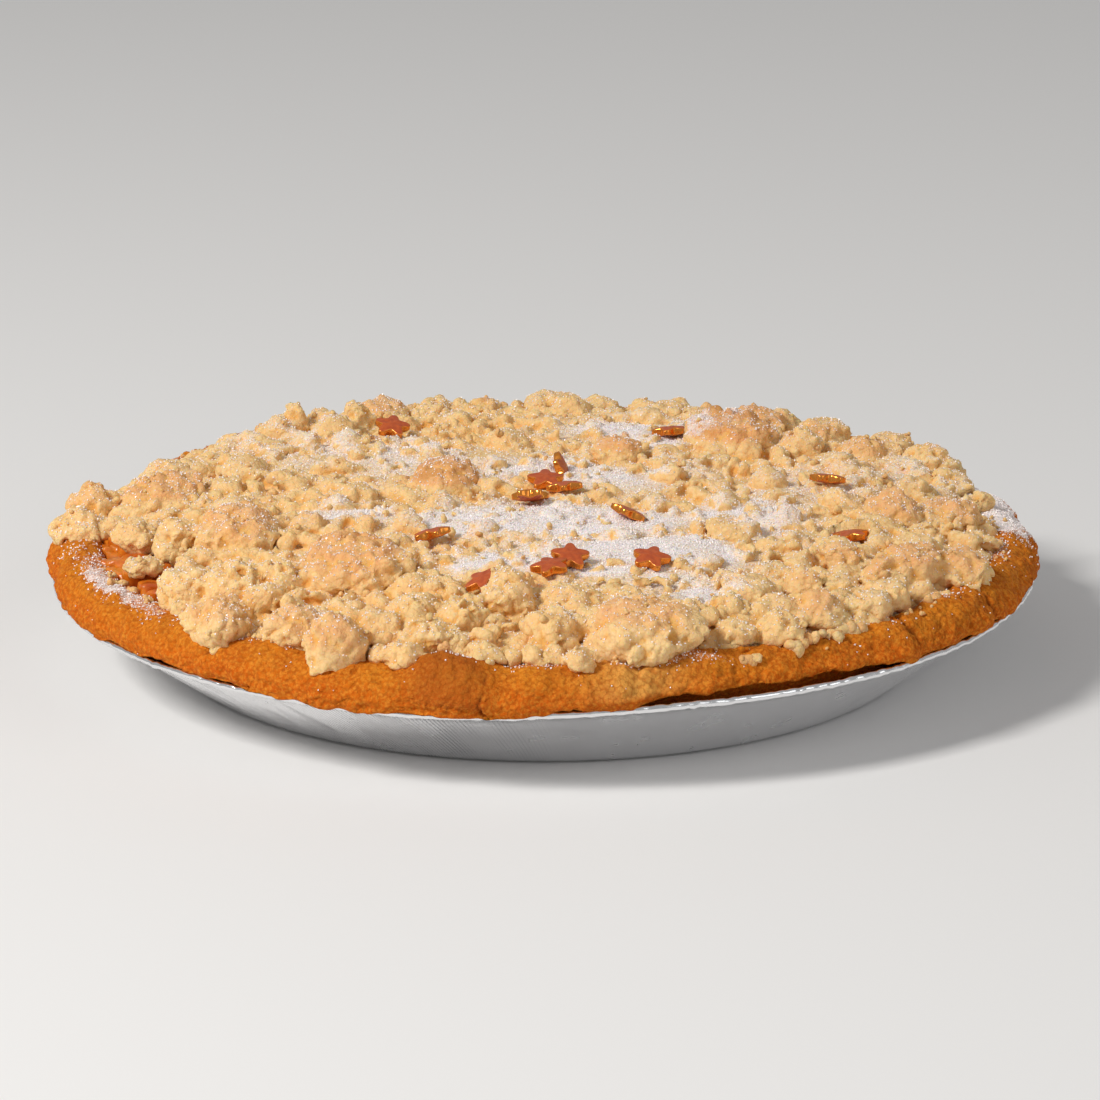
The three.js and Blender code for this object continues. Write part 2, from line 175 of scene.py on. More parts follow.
def noise(points, size, seed=0):
    """Smooth noise from -1 to 1 with features of about that size."""
    p = points / size + 1000
    cell = np.floor(p).astype(np.int64)
    f = p - cell
    f = f * f * (3 - 2 * f)
    total = 0
    for corner in itertools.product((0, 1), repeat=3):
        weight = np.prod(np.where(corner, f, 1 - f), axis=1)
        total = total + weight * hashed(cell + np.array(corner), seed)
    return total * 2 - 1


def fractal(points, size, octaves, seed=0):
    return sum(noise(points, size / 2**k, seed + k) * 0.5**k for k in range(octaves))


def cells(points, size, seed=0):
    """Distance to the nearest and the second nearest of scattered points, in units of size."""
    p = points / size + 1000
    cell = np.floor(p).astype(np.int64)
    near = np.full(len(p), 9.0)
    second = np.full(len(p), 9.0)
    for step in itertools.product((-1, 0, 1), repeat=3):
        c = cell + np.array(step)
        spot = c + np.stack([hashed(c, seed + k) for k in range(3)], axis=1)
        distance = np.linalg.norm(p - spot, axis=1)
        second = np.minimum(second, np.maximum(near, distance))
        near = np.minimum(near, distance)
    return near, second


def across(points, x=0.0, y=0.0):
    """How far points lie from a place, seen from above."""
    return np.hypot(points[:, 0] - x, points[:, 1] - y)


def polar(points):
    return across(points), np.degrees(np.arctan2(points[:, 1], points[:, 0])) % 360


def arc_between(degrees, centre):
    """How far a bearing is from another, 0 to 180 degrees."""
    return np.abs((degrees - centre + 540) % 360 - 180)


def about(degrees, centre, half_width):
    """1 at a bearing, easing to nothing past about twice the half width from it."""
    return np.exp(-(arc_between(degrees, centre) / half_width) ** 2)


def on_ring(degrees, radius, z=0.0):
    """Places on a ring, for noise that meets itself all the way round."""
    a = np.radians(degrees)
    return np.stack([np.cos(a), np.sin(a), np.full(len(a), z)], axis=1) * radius


def mound(radius):
    """The crumble's mean height at a distance from the centre."""
    plateau = mix(PLATEAU_TOP, SHOULDER_TOP, smooth(PLATEAU_RADIUS, SHOULDER_RADIUS, radius))
    return mix(plateau, FOOT_TOP, smooth(SHOULDER_RADIUS, FOOT_RADIUS, radius))


def rim(bearings):
    """Rim radius and top at each bearing in degrees, eased between the listed ones."""
    rows = np.array(RIM + [(360, *RIM[0][1:])], float)
    i = np.searchsorted(rows[:, 0], bearings % 360, side="right") - 1
    i = np.clip(i, 0, len(rows) - 2)
    t = smooth(0, 1, (bearings % 360 - rows[i, 0]) / (rows[i + 1, 0] - rows[i, 0]))
    return mix(rows[i, 1], rows[i + 1, 1], t), mix(rows[i, 2], rows[i + 1, 2], t)


def tin_lift(bearings, z):
    """How much higher the tin, and what lies against it, stands at a bearing and height."""
    full, none = LIFT_HALF_WIDTH
    rise = RIM_LIFT * smooth(none, full, arc_between(bearings, LIFT_BEARING))
    starts, ends = LIFT_HEIGHTS
    share = np.minimum((z - starts) / (TIN_HEIGHT - starts), (ends - z) / (ends - TIN_HEIGHT))
    return rise * np.clip(share, 0, 1)


# --- Meshes ---

def added(name, data):
    thing = bpy.data.objects.new(name, data)
    bpy.context.scene.collection.objects.link(thing)
    return thing


def new_piece(name, points, faces, material=None):
    """A smooth-shaded object from points in mm and triangles, set where the pie stands."""
    mesh = bpy.data.meshes.new(name)
    mesh.vertices.add(len(points))
    placed = points * MM + np.array([PIE_CENTRE.x, PIE_CENTRE.y, 0])
    mesh.vertices.foreach_set("co", placed.astype(np.float32).ravel())
    mesh.loops.add(faces.size)
    mesh.loops.foreach_set("vertex_index", faces.astype(np.int32).ravel())
    mesh.polygons.add(len(faces))
    mesh.polygons.foreach_set("loop_start", np.arange(0, faces.size, 3, dtype=np.int32))
    mesh.update(calc_edges=True)
    mesh.shade_smooth()
    piece = added(name, mesh)
    if material:
        mesh.materials.append(material)
        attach(piece, "root")
    return piece


def read_mesh(mesh):
    """Points in mm, point normals and triangles of a mesh."""
    mesh.calc_loop_triangles()
    points = np.empty(len(mesh.vertices) * 3, np.float32)
    mesh.vertices.foreach_get("co", points)
    points = (points.reshape(-1, 3) - np.array([PIE_CENTRE.x, PIE_CENTRE.y, 0])) / MM
    normals = np.empty(len(mesh.vertices) * 3, np.float32)
    mesh.vertices.foreach_get("normal", normals)
    faces = np.empty(len(mesh.loop_triangles) * 3, np.int32)
    mesh.loop_triangles.foreach_get("vertices", faces)
    return points, normals.reshape(-1, 3).astype(float), faces.reshape(-1, 3)


def baked(piece):
    """The piece's points, normals and triangles with its modifiers applied. The piece is removed."""
    seen = piece.evaluated_get(bpy.context.evaluated_depsgraph_get())
    mesh = bpy.data.meshes.new_from_object(seen)
    result = read_mesh(mesh)
    bpy.data.meshes.remove(mesh)
    bpy.data.objects.remove(piece)
    return result


def remeshed(points, faces, voxel):
    piece = new_piece("rough", points, faces)
    piece.modifiers.new("even", "REMESH").voxel_size = voxel * MM
    return baked(piece)


def thinned(points, faces, count):
    """The same shape in about that many triangles, most of them where it bends."""
    piece = new_piece("dense", points, faces)
    piece.modifiers.new("thin", "DECIMATE").ratio = min(1, count / len(faces))
    return baked(piece)


def give(piece, **values):
    """Sets a number from 0 to 1 for each point, by name."""
    for name, value in values.items():
        layer = piece.data.attributes.new(name, "FLOAT", "POINT")
        layer.data.foreach_set("value", np.clip(value, 0, 1).astype(np.float32))


def joined(parts):
    """One set of points and triangles from several."""
    start = 0
    points, faces = [], []
    for p, f in parts:
        points.append(p)
        faces.append(f + start)
        start += len(p)
    return np.concatenate(points), np.concatenate(faces)


def turned(profile, twist=0.0):
    """A turned solid from profile[step][ring] = (radius, height), closed on the axis at both ends.

    Each ring is turned further by its twist.
    """
    steps, rings = profile.shape[:2]
    bearing = (TAU * np.arange(steps) / steps)[:, None] + twist
    x = profile[:, :, 0] * np.cos(bearing)
    y = profile[:, :, 0] * np.sin(bearing)
    points = np.stack([x, y, profile[:, :, 1]], axis=2).reshape(-1, 3)
    ends = np.array([[0, 0, profile[:, 0, 1].mean()], [0, 0, profile[:, -1, 1].mean()]])
    i, j = np.meshgrid(np.arange(steps), np.arange(rings - 1), indexing="ij")
    a = (i * rings + j).ravel()
    b = ((i + 1) % steps * rings + j).ravel()
    step = np.arange(steps) * rings
    after = np.roll(step, -1)
    bottom = np.full(steps, steps * rings)
    faces = [
        np.stack([a, b, b + 1], axis=1),
        np.stack([a, b + 1, a + 1], axis=1),
        np.stack([bottom, after, step], axis=1),
        np.stack([bottom + 1, step + rings - 1, after + rings - 1], axis=1),
    ]
    return np.concatenate([points, ends]), np.concatenate(faces)


def curve_through(knots, count):
    """Points evenly along a smooth curve through knots[step][knot] = (radius, height)."""
    padded = np.concatenate([knots[:, :1], knots, knots[:, -1:]], axis=1)
    spans = knots.shape[1] - 1
    at = np.linspace(0, spans, count)
    i = np.minimum(at.astype(int), spans - 1)
    t = (at - i)[None, :, None]
    p0, p1, p2, p3 = (padded[:, i + k] for k in range(4))
    return 0.5 * (
        2 * p1 + (p2 - p0) * t + (2 * p0 - 5 * p1 + 4 * p2 - p3) * t**2 + (3 * p1 - p0 - 3 * p2 + p3) * t**3
    )


def unit_ball(detail):
    ball = bmesh.new()
    bmesh.ops.create_icosphere(ball, subdivisions=detail, radius=1)
    points = np.array([v.co for v in ball.verts])
    faces = np.array([[v.index for v in f.verts] for f in ball.faces])
    ball.free()
    return points, faces


def random_turns(count, rng):
    q = rng.normal(size=(count, 4))
    w, x, y, z = (q / np.linalg.norm(q, axis=1)[:, None]).T
    return np.stack([
        1 - 2 * (y * y + z * z), 2 * (x * y - z * w), 2 * (x * z + y * w),
        2 * (x * y + z * w), 1 - 2 * (x * x + z * z), 2 * (y * z - x * w),
        2 * (x * z - y * w), 2 * (y * z + x * w), 1 - 2 * (x * x + y * y),
    ], axis=1).reshape(-1, 3, 3)


def copies(unit, faces, places, sizes, rng, rough=0.0):
    """Many copies of a small form, each turned at random and pushed in and out by noise."""
    count = len(places)
    turned_units = np.einsum("nij,vj->nvi", random_turns(count, rng), unit)
    if rough:
        apart = rng.uniform(0, 500, (count, 1, 3))
        swell = fractal((unit * 1.7 + apart).reshape(-1, 3), 1.6, 2, seed=5).reshape(count, -1, 1)
        turned_units = turned_units * (1 + rough * swell)
    points = places[:, None] + turned_units * sizes[:, None] / 2
    all_faces = faces[None] + np.arange(count)[:, None, None] * len(unit)
    return points.reshape(-1, 3), all_faces.reshape(-1, 3)


def largest_bodies(points, faces, least):
    """Leaves out sealed inner hollows and scraps with fewer points than that."""
    label = np.arange(len(points))
    while True:
        low = label[faces].min(axis=1)
        new = label.copy()
        np.minimum.at(new, faces.ravel(), np.repeat(low, 3))
        new = new[new]
        if (new == label).all():
            break
        label = new
    a, b, c = (points[faces[:, k]] for k in range(3))
    volume = np.zeros(len(points))
    np.add.at(volume, label[faces[:, 0]], np.einsum("ij,ij->i", a, np.cross(b, c)))
    size = np.bincount(label, minlength=len(points))
    good = (volume > 0) & (size >= least)
    faces = faces[good[label[faces[:, 0]]]]
    used, flat = np.unique(faces, return_inverse=True)
    return points[used], flat.reshape(-1, 3)


def face_measures(points, faces):
    a, b, c = (points[faces[:, k]] for k in range(3))
    cross = np.cross(b - a, c - a)
    length = np.maximum(np.linalg.norm(cross, axis=1), 1e-12)
    return length / 2, cross / length[:, None], (a + b + c) / 3


def point_normals(points, faces):
    area, normal, _ = face_measures(points, faces)
    total = np.zeros_like(points)
    for k in range(3):
        np.add.at(total, faces[:, k], normal * area[:, None])
    return total / np.maximum(np.linalg.norm(total, axis=1), 1e-12)[:, None]


def relaxed(points, faces, rounds):
    """The points after each has moved to the mean of its neighbours that many times."""
    edges = np.concatenate([faces[:, [0, 1]], faces[:, [1, 2]], faces[:, [2, 0]]])
    count = np.bincount(edges.ravel(), minlength=len(points))[:, None]
    soft = points
    for _ in range(rounds):
        total = np.zeros_like(points)
        np.add.at(total, edges[:, 0], soft[edges[:, 1]])
        np.add.at(total, edges[:, 1], soft[edges[:, 0]])
        soft = total / np.maximum(count, 1)
    return soft


def scatter(points, faces, weight, count, rng):
    """Random places on the triangles, as many on each as its area times its weight asks for."""
    area, normal, _ = face_measures(points, faces)
    share = area * weight
    chosen = rng.choice(len(faces), count, p=share / share.sum())
    u, v = rng.random((2, count, 1))
    flip = u + v > 1
    u, v = np.where(flip, 1 - u, u), np.where(flip, 1 - v, v)
    a, b, c = (points[faces[chosen, k]] for k in range(3))
    return a + (b - a) * u + (c - a) * v, normal[chosen]


# --- Materials ---

class Looks:
    """A material's nodes, built from the shader outwards."""

    def __init__(self, name, **sockets):
        self.material = bpy.data.materials.new(name)
        self.material.use_nodes = True
        self.tree = self.material.node_tree
        self.shader = self.tree.nodes["Principled BSDF"]
        self.fill(self.shader, sockets)
        self.place = self.node("TexCoord").outputs["Object"]

    def put(self, socket, value):
        if isinstance(value, bpy.types.NodeSocket):
            self.tree.links.new(value, socket)
        elif isinstance(value, tuple) and len(value) == 3 and len(socket.default_value) == 4:
            socket.default_value = (*value, 1)
        else:
            socket.default_value = value

    def fill(self, node, sockets):
        for socket, value in sockets.items():
            self.put(node.inputs[socket.replace("_", " ")], value)
        return node

    def node(self, kind, **sockets):
        return self.fill(self.tree.nodes.new("ShaderNode" + kind), sockets)

    def attribute(self, name):
        node = self.node("Attribute")
        node.attribute_name = name
        return node.outputs["Fac"]

    def grain(self, size, detail=3, roughness=0.55, stretch=None):
        """Noise from 0 to 1 with features of that size in mm."""
        source = self.place
        if stretch:
            source = self.node("Mapping", Vector=source, Scale=stretch).outputs["Vector"]
        node = self.node("TexNoise", Vector=source, Scale=1 / (size * MM), Detail=detail,
                         Roughness=roughness)
        return node.outputs["Fac"]

    def pits(self, size, seed=0.0):
        """Distance to the nearest of scattered points that far apart, 0 at each point."""
        shift = self.node("VectorMath")
        self.put(shift.inputs[0], self.place)
        self.put(shift.inputs[1], (seed, seed, seed))
        return self.node("TexVoronoi", Vector=shift.outputs[0], Scale=1 / (size * MM)).outputs["Distance"]

    def math(self, operation, *values):
        node = self.node("Math")
        node.operation = operation
        for socket, value in zip(node.inputs, values):
            self.put(socket, value)
        return node.outputs[0]

    def step(self, value, low, high):
        """0 below low, 1 above high, eased between."""
        node = self.node("MapRange", Value=value, From_Min=low, From_Max=high)
        node.interpolation_type = "SMOOTHSTEP"
        return node.outputs["Result"]

    def blend(self, share, a, b):
        node = self.node("Mix")
        node.data_type = "RGBA"
        for socket, value in zip((0, 6, 7), (share, a, b)):
            self.put(node.inputs[socket], value)
        return node.outputs[2]

    def layered(self, colour, *layers):
        """The colour under others, each laid on as far as its mask says, a socket or a given number."""
        for mask, most, other in layers:
            share = self.attribute(mask) if isinstance(mask, str) else mask
            colour = self.blend(self.math("MULTIPLY", share, most), colour, other)
        return colour

    def sugared(self, colour, grain, low, high, white):
        """The colour under sugar, broken into grains where it lies thin."""
        dust = self.math("ADD", self.attribute("sugar"), self.math("MULTIPLY", grain, 0.9))
        return self.blend(self.step(dust, low, high), colour, white)

    def bump(self, height, distance, strength=1.0, under=None):
        node = self.node("Bump", Strength=strength, Distance=distance * MM, Height=height)
        if under:
            self.put(node.inputs["Normal"], under)
        return node.outputs["Normal"]

    def crumbly(self, between_grains):
        """The relief of baked dough."""
        return self.bump(between_grains, -0.12, under=self.bump(self.grain(0.7, 4, 0.75), 0.4))

    def finish(self, **sockets):
        self.fill(self.shader, sockets)
        return self.material


def foil_looks():
    looks = Looks("foil", Metallic=1.0)
    patches = looks.step(looks.grain(9, 2), 0.3, 0.75)
    roughness = looks.math("MULTIPLY_ADD", patches, 0.12, 0.17)
    creases = looks.bump(looks.grain(1.8, 3, stretch=(1, 1, 0.3)), 0.15, 0.6)
    # painted shade: the foil is darkened in the grooves of the pleats
    colour = looks.blend(looks.attribute("fold"), (0.88, 0.88, 0.89), (0.34, 0.34, 0.36))
    return looks.finish(Base_Color=colour, Roughness=roughness,
                        Normal=looks.bump(looks.grain(0.5, 3), 0.03, 0.5, creases))


def pastry_looks():
    """Golden brown shortcrust, redder low down, with shade painted into its pores, its cracks and the gaps
    between its grains, and sugar on top.
    """
    looks = Looks("pastry", Roughness=0.85, Specular_IOR_Level=0.12, Subsurface_Weight=0.1,
                  Subsurface_Scale=0.002, Subsurface_Radius=(1.0, 0.4, 0.12))
    broad = looks.step(looks.grain(7, 3), 0.32, 0.68)
    fine = looks.step(looks.grain(0.8, 4, 0.7), 0.38, 0.66)
    between_grains = looks.step(looks.pits(0.9), 0.4, 0.85)
    pores = looks.math("SUBTRACT", 1.0, looks.step(looks.pits(1.9, 0.37), 0.05, 0.3))
    # painted shade in the pores and in the cracks
    dark = looks.math("MAXIMUM", looks.math("MULTIPLY", pores, 0.35), looks.attribute("crack"))
    colour = looks.layered(
        looks.blend(broad, (0.66, 0.195, 0.009), (0.52, 0.115, 0.004)),
        # redder and darker low down: partly deeper baking, partly painted reflected light from below
        ("low", 0.85, (0.62, 0.095, 0.001)),
        (fine, 0.6, (0.82, 0.32, 0.035)),
        ("pale", 0.75, (0.95, 0.50, 0.11)),
        ("bake", 0.7, (0.36, 0.08, 0.010)),
        # painted shade in the gaps between grains, which the bump also sinks
        (between_grains, 0.5, (0.40, 0.085, 0.003)),
        (dark, 0.75, (0.17, 0.035, 0.006)),
    )
    # the sugar is white with a faint painted pink cast of reflected light
    colour = looks.sugared(colour, looks.grain(0.5, 3, 0.7), 0.9, 1.25, (0.90, 0.80, 0.76))
    return looks.finish(Base_Color=colour, Normal=looks.crumbly(between_grains))


def apple_looks():
    looks = Looks("apple", Roughness=0.3, Subsurface_Weight=0.2, Subsurface_Scale=0.003,
                  Subsurface_Radius=(1.0, 0.3, 0.08), Coat_Weight=0.35, Coat_Roughness=0.12)
    patches = looks.step(looks.grain(5, 3), 0.35, 0.7)
    colour = looks.blend(patches, (0.74, 0.22, 0.012), (0.50, 0.085, 0.005))
    colour = looks.layered(colour, ("low", 0.75, (0.26, 0.035, 0.004)))
    return looks.finish(Base_Color=colour, Normal=looks.bump(looks.grain(1.4, 4, 0.6), 0.25, 0.6))


def crumble_looks():
    """Pale yellow dough, peach where it has baked, brown where it stands out, with warm shade painted into
    its hollows and shade painted between its grains, and sugar on top.
    """
    looks = Looks("crumble", Roughness=0.9, Specular_IOR_Level=0.15, Subsurface_Weight=0.2,
                  Subsurface_Scale=0.003, Subsurface_Radius=(1.0, 0.45, 0.12))
    broad = looks.step(looks.grain(8, 3), 0.3, 0.7)
    fine = looks.step(looks.grain(0.8, 4, 0.7), 0.35, 0.7)
    patchy = looks.math("MULTIPLY", looks.attribute("brown"), looks.step(looks.grain(2.6, 3), 0.1, 0.6))
    between_grains = looks.step(looks.pits(1.0), 0.35, 0.85)
    colour = looks.layered(
        looks.blend(broad, (0.93, 0.62, 0.28), (0.92, 0.56, 0.23)),
        (fine, 0.5, (0.97, 0.74, 0.42)),
        (looks.step(patchy, 0.0, 0.5), 0.8, (0.86, 0.43, 0.18)),
        (looks.step(patchy, 0.4, 1.0), 0.85, (0.66, 0.30, 0.095)),
        # painted warm shade in the hollows
        ("cavity", 0.7, (0.84, 0.40, 0.06)),
        # painted shade in the gaps between grains, which the bump also sinks
        (between_grains, 0.25, (0.74, 0.37, 0.09)),
    )
    # the sugar is white with a faint painted pink cast of reflected light
    colour = looks.sugared(colour, looks.grain(0.6, 4, 0.75), 0.75, 1.25, (0.95, 0.87, 0.85))
    return looks.finish(Base_Color=colour, Normal=looks.crumbly(between_grains))


def sugar_looks():
    looks = Looks("sugar", Roughness=0.3, IOR=1.5)
    # white crystals with a faint painted pink cast of reflected light
    return looks.finish(Base_Color=looks.blend(looks.grain(3, 2), (0.97, 0.91, 0.88), (0.92, 0.85, 0.84)))


def sprinkle_looks():
    """Copper faces and golden, more metallic edges."""
    looks = Looks("sprinkle", IOR=1.5)
    edge = looks.attribute("edge")
    mottle = looks.step(looks.grain(1.1, 3), 0.3, 0.7)
    face = looks.blend(mottle, (0.42, 0.065, 0.012), (0.53, 0.10, 0.018))
    return looks.finish(Base_Color=looks.blend(edge, face, (0.82, 0.30, 0.05)),
                        Metallic=looks.math("MULTIPLY", edge, 0.85),
                        Roughness=looks.math("MULTIPLY_ADD", edge, -0.28, 0.45),
                        Normal=looks.bump(looks.grain(0.5, 3), 0.04, 0.4))


# --- Foil tin ---

WALL_TOP = TIN_HEIGHT - BEAD_RADIUS
WALL_TOP_RADIUS = TIN_RIM_RADIUS - 2 * BEAD_RADIUS
WALL_SPREAD = math.hypot(1, (WALL_TOP_RADIUS - TIN_BASE_RADIUS) / WALL_TOP)
FOIL = 0.2
BEAD = 0.72  # radius of the rolled edge as seen, within the solid's rounder one
PLEATS = 680  # round the wall
PLEAT_STEPS = 4
PLEAT_SLANT = -0.25
PLEAT_DEPTH = 0.22
DEEP_PLEATS = 222  # the bearing where they are deepest
PRESSED_FLAT = 308  # and where they hardly show
FLAT_RADIUS = 40  # the base is one level fan within it


def wall_radius(z):
    return mix(TIN_BASE_RADIUS, WALL_TOP_RADIUS, z / WALL_TOP)


def foil_tin():
    """Pleated wall, crimped bead and a flat base, in one skin of foil, with shade painted into the grooves
    of the pleats.
    """
    steps = PLEATS * PLEAT_STEPS
    degrees = 360 * np.arange(steps) / steps
    bead_centre = TIN_HEIGHT - BEAD
    corner = [(TIN_BASE_RADIUS - 0.9, 0), (TIN_BASE_RADIUS - 0.35, 0.06), (wall_radius(0.5), 0.42)]
    wall = [(wall_radius(z), z) for z in np.linspace(1.2, bead_centre - 1.0, 8)]
    turn = np.linspace(-0.72, 1.0, 9) * math.pi
    bead = [(TIN_RIM_RADIUS - BEAD * (1 - math.cos(a)), bead_centre + BEAD * math.sin(a)) for a in turn]
    inside = FOIL * WALL_SPREAD
    inner = [(wall_radius(z) - inside, z) for z in (bead_centre - 1.0, WALL_TOP / 2, FOIL + 0.3)]
    inner += [(TIN_BASE_RADIUS - 1.2, FOIL), (FLAT_RADIUS, FOIL)]
    rings = np.array([(FLAT_RADIUS, 0), *corner, *wall, *bead, *inner], float)
    profile = np.repeat(rings[None], steps, axis=0)
    first = 1 + len(corner)
    last = first + len(wall)
    deepest = mix(0.5, 1, smooth(60, 35, arc_between(degrees, DEEP_PLEATS)))
    deepest = deepest * mix(0.08, 1, smooth(30, 50, arc_between(degrees, PRESSED_FLAT)))
    pleat = np.cos(TAU * np.arange(steps) / PLEAT_STEPS)
    fold = np.zeros((steps, len(rings)))
    for ring in [*range(first, last), *range(last + len(bead), last + len(bead) + 2)]:
        z = rings[ring, 1]
        lay = on_ring(degrees, 95, z / 300)
        uneven = 0.7 + 0.6 * noise(lay, 2.2, 21)
        creases = noise(lay, 2.4, 22) * 0.1 + noise(lay, 8, 23) * 0.2
        reach = smooth(0, 2.5, z) * smooth(WALL_TOP + 0.4, WALL_TOP - 1, z)
        profile[:, ring, 0] += (PLEAT_DEPTH * pleat * uneven * deepest + creases) * reach
        # painted shade, darkest in the deepest grooves of the pleats
        fold[:, ring] = (pleat < -0.5) * (uneven - 0.3) * deepest * reach
    for ring in range(last, last + len(bead)):
        lay = on_ring(degrees, TIN_RIM_RADIUS, ring * 0.003)
        profile[:, ring, 1] += noise(lay, 1.2, 25) * 0.16 + noise(lay, 7, 26) * 0.12
        profile[:, ring, 0] += noise(lay, 1.7, 27) * 0.17
    profile[:, :, 1] += tin_lift(degrees[:, None], profile[:, :, 1])
    points, faces = turned(profile, PLEAT_SLANT * rings[:, 1] / TIN_BASE_RADIUS)
    points[:, 2] = np.maximum(points[:, 2], 0)
    piece = new_piece("foil_tin_skin", points, faces, foil_looks())
    give(piece, fold=np.append(fold, [0, 0]))
    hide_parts("foil_tin")


# --- Pastry crust ---

CRUST_BOTTOM = 0.8
CRUST_FLOOR = CRUST_BOTTOM + CRUST_THICKNESS
CRUST_STEPS = 1200
CRUST_RINGS = 44  # of the part that shows
FOIL_CLEARANCE = 1.5  # level, across the leaning wall
DRIP_BEARING = 314  # a ragged bit of the rim hangs lower here
ROUGH_BEARING = 280.5  # a pale rough patch
BULGE_BEARING = 259.8  # a darker bulge
SUGARED_LEFT = 206
SUGARED_RIGHT = 16
# Cracks down the rim, [bearing, width in mm, depth]
CRACKS = [
    (244, 0.5, 1.3), (263.5, 0.45, 1.0), (230, 0.5, 0.9), (281, 0.5, 1.1), (205, 0.4, 0.6), (317, 0.6, 1.2),
    (332, 0.4, 0.8), (18, 0.5, 0.9), (52, 0.45, 1.0), (96, 0.5, 1.1), (131, 0.4, 0.9), (163, 0.5, 0.8),
]


def crust_wall(z):
    return wall_radius(z) - FOIL_CLEARANCE


def crust_profile(bearings):
    """Radius and height of every ring at each bearing, and the number of the first ring that shows."""
    lay = on_ring(bearings, TIN_RIM_RADIUS)
    radius, top = rim(bearings)
    radius = radius + fractal(lay, 9, 3, 31) * 0.55
    top = top + fractal(lay, 14, 2, 32) * 0.5
    under = TIN_HEIGHT + 0.35
    overhang = radius - TIN_RIM_RADIUS - 0.3
    edge = under - np.where(overhang > 0, overhang, overhang * 0.5) + fractal(lay, 4.5, 3, 33) * 0.4
    edge -= 0.9 * about(bearings, DRIP_BEARING, 4) * (0.6 + noise(lay, 2.6, 47))
    edge = np.maximum(edge, under - 2.6 * smooth(TIN_RIM_RADIUS + 0.1, TIN_RIM_RADIUS + 1.2, radius))

    def knots(*rows):
        pairs = [np.broadcast_arrays(r, z, bearings)[:2] for r, z in rows]
        return np.stack([np.stack(pair, axis=1) for pair in pairs], axis=1)

    drawn_back = smooth(107.6, 105.8, radius)
    hidden = knots(
        (60, CRUST_BOTTOM), (crust_wall(CRUST_BOTTOM), CRUST_BOTTOM),
        (crust_wall(WALL_TOP - 4) - drawn_back, WALL_TOP - 4),
        (WALL_TOP_RADIUS - 2.4 - 2.4 * drawn_back, under),
        (np.minimum(TIN_RIM_RADIUS + 0.3, radius - 1.4), np.maximum(under, edge + 0.2)),
    )
    shown = knots(
        (radius - 0.7, edge), (radius - 0.1, mix(TIN_HEIGHT, top, 0.16)),
        (radius - 0.15, mix(TIN_HEIGHT, top, 0.36)), (radius - 1.3, mix(TIN_HEIGHT, top, 0.63)),
        (radius - 3.4, mix(TIN_HEIGHT, top, 0.87)), (radius - 6.6, top),
        (CRUST_INNER_RADIUS + 1.4, top - 0.6), (CRUST_INNER_RADIUS - 0.2, FILLING_TOP - 0.3),
    )
    inner = knots(
        (CRUST_INNER_RADIUS - 3, FILLING_TOP - 5), (crust_wall(CRUST_FLOOR) - CRUST_THICKNESS, CRUST_FLOOR),
        (60, CRUST_FLOOR),
    )
    outside = np.concatenate([hidden, curve_through(shown, CRUST_RINGS)], axis=1)
    outside[:, :, 1] += tin_lift(bearings[:, None], outside[:, :, 1])
    return np.concatenate([outside, inner], axis=1), hidden.shape[1]


def crust_cracks(points):
    """How deep the cracks down the rim are at each point, and how much of one is there, 0 to 1, which also
    sets where shade is painted into them.
    """
    _, degrees = polar(points)
    depths = np.zeros(len(points))
    crack = np.zeros(len(points))
    for bearing, width, depth in CRACKS:
        wander = noise(points + bearing, 4, 40) * 1.6 + noise(points + bearing, 1.5, 48) * 0.5
        side = np.sign((degrees - bearing + 540) % 360 - 180)
        away = arc_between(degrees, bearing) / 360 * TAU * TIN_RIM_RADIUS + side * wander
        line = np.exp(-(away / width) ** 2) * smooth(-0.35, 0.25, noise(points + bearing, 4, 41))
        crack = np.maximum(crack, line)
        depths += depth * line
    return depths, crack


def rim_sugar(points):
    """How thickly sugar lies on the rim, most of it on two ragged stretches and along the foot."""
    radius, degrees = polar(points)
    ragged = noise(points, 7, 49) * 4 + noise(points, 2.2, 50) * 3
    fades = radius + 0.35 * ragged
    left = 0.72 * np.exp(-((arc_between(degrees, SUGARED_LEFT) + ragged) / 19) ** 2)
    left *= smooth(107, 102.5, fades) * (0.4 + 0.6 * smooth(97, 101, radius))
    right = smooth(25, 9, arc_between(degrees, SUGARED_RIGHT) + ragged) * smooth(109, 105.5, fades)
    at_foot = 0.5 * smooth(104.5, 101.5, radius) * smooth(0.0, 0.6, noise(points, 9, 42) + 0.2)
    return np.maximum.reduce([left, right, at_foot, 0.1 * noise(points, 16, 46)])


